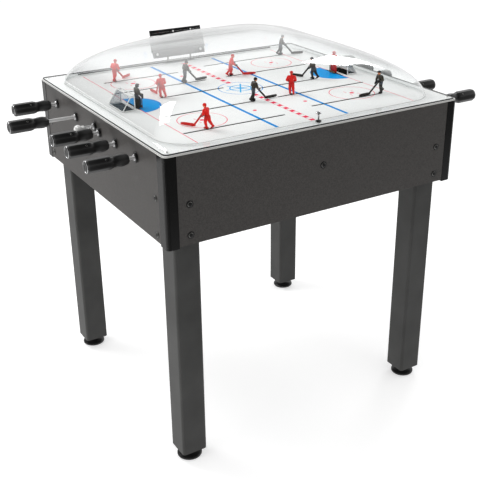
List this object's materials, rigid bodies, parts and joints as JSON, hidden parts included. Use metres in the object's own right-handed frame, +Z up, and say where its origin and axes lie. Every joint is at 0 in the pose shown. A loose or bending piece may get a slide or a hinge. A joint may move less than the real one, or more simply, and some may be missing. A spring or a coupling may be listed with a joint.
{
  "type": "dome hockey table",
  "caption": "Home-size hockey table with a clear dome, rod-driven skaters and goalies, goals, scoreboard and levelling feet.",
  "frame": {"origin": "centre of the floor area the table stands over, at the floor", "axes": "+X along the table from the dark team's end to the red team's end, +Y across it from the near side (puck ejector) to the far side (scoreboard), +Z up"},
  "size_m": [1.419, 0.92, 1.1932],
  "materials": {
    "clear_dome": "clear moulded acrylic, glossy",
    "ice_plastic": "white sheet, satin gloss, printed",
    "leg_foil": "fibreboard wrapped in charcoal foil, satin",
    "foot_plastic": "black moulded",
    "post_plastic": "dark moulded, satin",
    "cabinet_laminate": "fibreboard faced with charcoal laminate, lightly mottled",
    "rod_steel": "polished",
    "nylon_black": "moulded nylon",
    "goal_white": "white bars and clear sheets",
    "dark_team_plastic": "moulded, painted",
    "red_team_plastic": "moulded, painted",
    "scoreboard_grey": "grey moulded face under a black bar",
    "bracket_steel": "bent strip",
    "knob_chrome": "polished"
  },
  "bodies": {
    "cabinet": {"rink_bed": "ice_plastic", "dome": "clear_dome", "side_panel_near": "cabinet_laminate", "side_panel_far": "cabinet_laminate", "end_panel_left": "cabinet_laminate", "end_panel_right": "cabinet_laminate", "bottom_panel": "cabinet_laminate", "bearing_rail_left": "nylon_black", "bearing_rail_right": "nylon_black", "dark_goal": "goal_white", "red_goal": "goal_white", "scoreboard_case": "scoreboard_grey", "scoreboard_bracket": "bracket_steel", "corner_post_near_left": "post_plastic", "corner_post_near_right": "post_plastic", "corner_post_far_left": "post_plastic", "corner_post_far_right": "post_plastic", "leg_near_left": "leg_foil", "leg_near_right": "leg_foil", "leg_far_left": "leg_foil", "leg_far_right": "leg_foil"},
    "foot_near_left": {"levelling_foot_near_left": "foot_plastic"},
    "foot_near_right": {"levelling_foot_near_right": "foot_plastic"},
    "foot_far_left": {"levelling_foot_far_left": "foot_plastic"},
    "foot_far_right": {"levelling_foot_far_right": "foot_plastic"},
    "dark_left_wing_carriage": {"dark_left_wing_carriage": "nylon_black"},
    "dark_left_wing_rod": {"dark_left_wing_rod": "rod_steel"},
    "dark_left_wing_skater": {"dark_left_wing_skater": "dark_team_plastic"},
    "dark_left_defence_carriage": {"dark_left_defence_carriage": "nylon_black"},
    "dark_left_defence_rod": {"dark_left_defence_rod": "rod_steel"},
    "dark_left_defence_skater": {"dark_left_defence_skater": "dark_team_plastic"},
    "dark_centre_carriage": {"dark_centre_carriage": "nylon_black"},
    "dark_centre_rod": {"dark_centre_rod": "rod_steel"},
    "dark_centre_skater": {"dark_centre_skater": "dark_team_plastic"},
    "dark_right_defence_carriage": {"dark_right_defence_carriage": "nylon_black"},
    "dark_right_defence_rod": {"dark_right_defence_rod": "rod_steel"},
    "dark_right_defence_skater": {"dark_right_defence_skater": "dark_team_plastic"},
    "dark_right_wing_carriage": {"dark_right_wing_carriage": "nylon_black"},
    "dark_right_wing_rod": {"dark_right_wing_rod": "rod_steel"},
    "dark_right_wing_skater": {"dark_right_wing_skater": "dark_team_plastic"},
    "red_left_wing_carriage": {"red_left_wing_carriage": "nylon_black"},
    "red_left_wing_rod": {"red_left_wing_rod": "rod_steel"},
    "red_left_wing_skater": {"red_left_wing_skater": "red_team_plastic"},
    "red_left_defence_carriage": {"red_left_defence_carriage": "nylon_black"},
    "red_left_defence_rod": {"red_left_defence_rod": "rod_steel"},
    "red_left_defence_skater": {"red_left_defence_skater": "red_team_plastic"},
    "red_centre_carriage": {"red_centre_carriage": "nylon_black"},
    "red_centre_rod": {"red_centre_rod": "rod_steel"},
    "red_centre_skater": {"red_centre_skater": "red_team_plastic"},
    "red_right_defence_carriage": {"red_right_defence_carriage": "nylon_black"},
    "red_right_defence_rod": {"red_right_defence_rod": "rod_steel"},
    "red_right_defence_skater": {"red_right_defence_skater": "red_team_plastic"},
    "red_right_wing_carriage": {"red_right_wing_carriage": "nylon_black"},
    "red_right_wing_rod": {"red_right_wing_rod": "rod_steel"},
    "red_right_wing_skater": {"red_right_wing_skater": "red_team_plastic"},
    "dark_goalie_rod": {"dark_goalie_rod": "rod_steel"},
    "dark_goalie": {"dark_goalie": "dark_team_plastic"},
    "red_goalie_rod": {"red_goalie_rod": "rod_steel"},
    "red_goalie": {"red_goalie": "red_team_plastic"},
    "puck_ejector": {"puck_ejector": "knob_chrome"}
  },
  "joints": [
    {"name": "foot_near_left_height", "type": "slide", "parent": "cabinet", "child": "foot_near_left", "axis": [0, 0, 1], "range_m": [-0.02, 0]},
    {"name": "foot_near_right_height", "type": "slide", "parent": "cabinet", "child": "foot_near_right", "axis": [0, 0, 1], "range_m": [-0.02, 0]},
    {"name": "foot_far_left_height", "type": "slide", "parent": "cabinet", "child": "foot_far_left", "axis": [0, 0, 1], "range_m": [-0.02, 0]},
    {"name": "foot_far_right_height", "type": "slide", "parent": "cabinet", "child": "foot_far_right", "axis": [0, 0, 1], "range_m": [-0.02, 0]},
    {"name": "dark_left_wing_slide", "type": "slide", "parent": "cabinet", "child": "dark_left_wing_carriage", "axis": [1, 0, 0], "range_m": [-0.3145, 0]},
    {"name": "dark_left_wing_spin", "type": "hinge", "parent": "dark_left_wing_carriage", "child": "dark_left_wing_rod", "pos_m": [0.3616, 0.317, 0.953], "axis": [1, 0, 0], "continuous": true},
    {"name": "dark_left_wing_turn", "type": "hinge", "parent": "dark_left_wing_carriage", "child": "dark_left_wing_skater", "pos_m": [0.3616, 0.317, 0.953], "axis": [0, 0, 1], "continuous": true},
    {"name": "dark_left_defence_slide", "type": "slide", "parent": "cabinet", "child": "dark_left_defence_carriage", "axis": [1, 0, 0], "range_m": [-0.2503, 0.0665]},
    {"name": "dark_left_defence_spin", "type": "hinge", "parent": "dark_left_defence_carriage", "child": "dark_left_defence_rod", "pos_m": [-0.1196, 0.15, 0.953], "axis": [1, 0, 0], "continuous": true},
    {"name": "dark_left_defence_turn", "type": "hinge", "parent": "dark_left_defence_carriage", "child": "dark_left_defence_skater", "pos_m": [-0.1196, 0.15, 0.953], "axis": [0, 0, 1], "continuous": true},
    {"name": "dark_centre_slide", "type": "slide", "parent": "cabinet", "child": "dark_centre_carriage", "axis": [1, 0, 0], "range_m": [-0.2106, 0]},
    {"name": "dark_centre_spin", "type": "hinge", "parent": "dark_centre_carriage", "child": "dark_centre_rod", "pos_m": [0.2612, -0.033, 0.953], "axis": [1, 0, 0], "continuous": true},
    {"name": "dark_centre_turn", "type": "hinge", "parent": "dark_centre_carriage", "child": "dark_centre_skater", "pos_m": [0.2612, -0.033, 0.953], "axis": [0, 0, 1], "continuous": true},
    {"name": "dark_right_defence_slide", "type": "slide", "parent": "cabinet", "child": "dark_right_defence_carriage", "axis": [1, 0, 0], "range_m": [-0.3064, 0]},
    {"name": "dark_right_defence_spin", "type": "hinge", "parent": "dark_right_defence_carriage", "child": "dark_right_defence_rod", "pos_m": [-0.0426, -0.15, 0.953], "axis": [1, 0, 0], "continuous": true},
    {"name": "dark_right_defence_turn", "type": "hinge", "parent": "dark_right_defence_carriage", "child": "dark_right_defence_skater", "pos_m": [-0.0426, -0.15, 0.953], "axis": [0, 0, 1], "continuous": true},
    {"name": "dark_right_wing_slide", "type": "slide", "parent": "cabinet", "child": "dark_right_wing_carriage", "axis": [1, 0, 0], "range_m": [-0.2536, 0]},
    {"name": "dark_right_wing_spin", "type": "hinge", "parent": "dark_right_wing_carriage", "child": "dark_right_wing_rod", "pos_m": [0.3378, -0.287, 0.953], "axis": [1, 0, 0], "continuous": true},
    {"name": "dark_right_wing_turn", "type": "hinge", "parent": "dark_right_wing_carriage", "child": "dark_right_wing_skater", "pos_m": [0.3378, -0.287, 0.953], "axis": [0, 0, 1], "continuous": true},
    {"name": "red_left_wing_slide", "type": "slide", "parent": "cabinet", "child": "red_left_wing_carriage", "axis": [-1, 0, 0], "range_m": [-0.248, 0.0665]},
    {"name": "red_left_wing_spin", "type": "hinge", "parent": "red_left_wing_carriage", "child": "red_left_wing_rod", "pos_m": [-0.2951, -0.317, 0.953], "axis": [1, 0, 0], "continuous": true},
    {"name": "red_left_wing_turn", "type": "hinge", "parent": "red_left_wing_carriage", "child": "red_left_wing_skater", "pos_m": [-0.2951, -0.317, 0.953], "axis": [0, 0, 1], "continuous": true},
    {"name": "red_left_defence_slide", "type": "slide", "parent": "cabinet", "child": "red_left_defence_carriage", "axis": [-1, 0, 0], "range_m": [-0.2748, 0.042]},
    {"name": "red_left_defence_spin", "type": "hinge", "parent": "red_left_defence_carriage", "child": "red_left_defence_rod", "pos_m": [0.0951, -0.15, 0.953], "axis": [1, 0, 0], "continuous": true},
    {"name": "red_left_defence_turn", "type": "hinge", "parent": "red_left_defence_carriage", "child": "red_left_defence_skater", "pos_m": [0.0951, -0.15, 0.953], "axis": [0, 0, 1], "continuous": true},
    {"name": "red_centre_slide", "type": "slide", "parent": "cabinet", "child": "red_centre_carriage", "axis": [-1, 0, 0], "range_m": [-0.2106, 0]},
    {"name": "red_centre_spin", "type": "hinge", "parent": "red_centre_carriage", "child": "red_centre_rod", "pos_m": [-0.2612, 0.033, 0.953], "axis": [1, 0, 0], "continuous": true},
    {"name": "red_centre_turn", "type": "hinge", "parent": "red_centre_carriage", "child": "red_centre_skater", "pos_m": [-0.2612, 0.033, 0.953], "axis": [0, 0, 1], "continuous": true},
    {"name": "red_right_defence_slide", "type": "slide", "parent": "cabinet", "child": "red_right_defence_carriage", "axis": [-1, 0, 0], "range_m": [-0.2964, 0.01]},
    {"name": "red_right_defence_spin", "type": "hinge", "parent": "red_right_defence_carriage", "child": "red_right_defence_rod", "pos_m": [0.0526, 0.15, 0.953], "axis": [1, 0, 0], "continuous": true},
    {"name": "red_right_defence_turn", "type": "hinge", "parent": "red_right_defence_carriage", "child": "red_right_defence_skater", "pos_m": [0.0526, 0.15, 0.953], "axis": [0, 0, 1], "continuous": true},
    {"name": "red_right_wing_slide", "type": "slide", "parent": "cabinet", "child": "red_right_wing_carriage", "axis": [-1, 0, 0], "range_m": [-0.2226, 0.031]},
    {"name": "red_right_wing_spin", "type": "hinge", "parent": "red_right_wing_carriage", "child": "red_right_wing_rod", "pos_m": [-0.3068, 0.287, 0.953], "axis": [1, 0, 0], "continuous": true},
    {"name": "red_right_wing_turn", "type": "hinge", "parent": "red_right_wing_carriage", "child": "red_right_wing_skater", "pos_m": [-0.3068, 0.287, 0.953], "axis": [0, 0, 1], "continuous": true},
    {"name": "dark_goalie_spin", "type": "hinge", "parent": "cabinet", "child": "dark_goalie_rod", "pos_m": [-0.3726, 0, 0.963], "axis": [1, 0, 0], "range_deg": [-283.1, 67.1]},
    {"name": "dark_goalie_slide", "type": "slide", "parent": "cabinet", "child": "dark_goalie", "axis": [0, 1, 0], "range_m": [-0.0169, 0.0709]},
    {"name": "red_goalie_spin", "type": "hinge", "parent": "cabinet", "child": "red_goalie_rod", "pos_m": [0.3726, 0, 0.963], "axis": [1, 0, 0], "range_deg": [-175.1, 175.1]},
    {"name": "red_goalie_slide", "type": "slide", "parent": "cabinet", "child": "red_goalie", "axis": [0, 1, 0], "range_m": [-0.0439, 0.0439]},
    {"name": "ejector_push", "type": "slide", "parent": "cabinet", "child": "puck_ejector", "axis": [0, 0, 1], "range_m": [-0.012, 0], "stiffness_N_per_m": 250, "springref_m": 0.006}
  ],
  "couplings": [
    {"joint": "dark_left_wing_turn", "follows": "dark_left_wing_spin", "ratio": 1},
    {"joint": "dark_left_defence_turn", "follows": "dark_left_defence_spin", "ratio": 1},
    {"joint": "dark_centre_turn", "follows": "dark_centre_spin", "ratio": 1},
    {"joint": "dark_right_defence_turn", "follows": "dark_right_defence_spin", "ratio": 1},
    {"joint": "dark_right_wing_turn", "follows": "dark_right_wing_spin", "ratio": 1},
    {"joint": "red_left_wing_turn", "follows": "red_left_wing_spin", "ratio": -1},
    {"joint": "red_left_defence_turn", "follows": "red_left_defence_spin", "ratio": -1},
    {"joint": "red_centre_turn", "follows": "red_centre_spin", "ratio": -1},
    {"joint": "red_right_defence_turn", "follows": "red_right_defence_spin", "ratio": -1},
    {"joint": "red_right_wing_turn", "follows": "red_right_wing_spin", "ratio": -1},
    {"joint": "dark_goalie_slide", "follows": "dark_goalie_spin", "m_per_rad": -0.0143},
    {"joint": "red_goalie_slide", "follows": "red_goalie_spin", "m_per_rad": -0.0143}
  ]
}
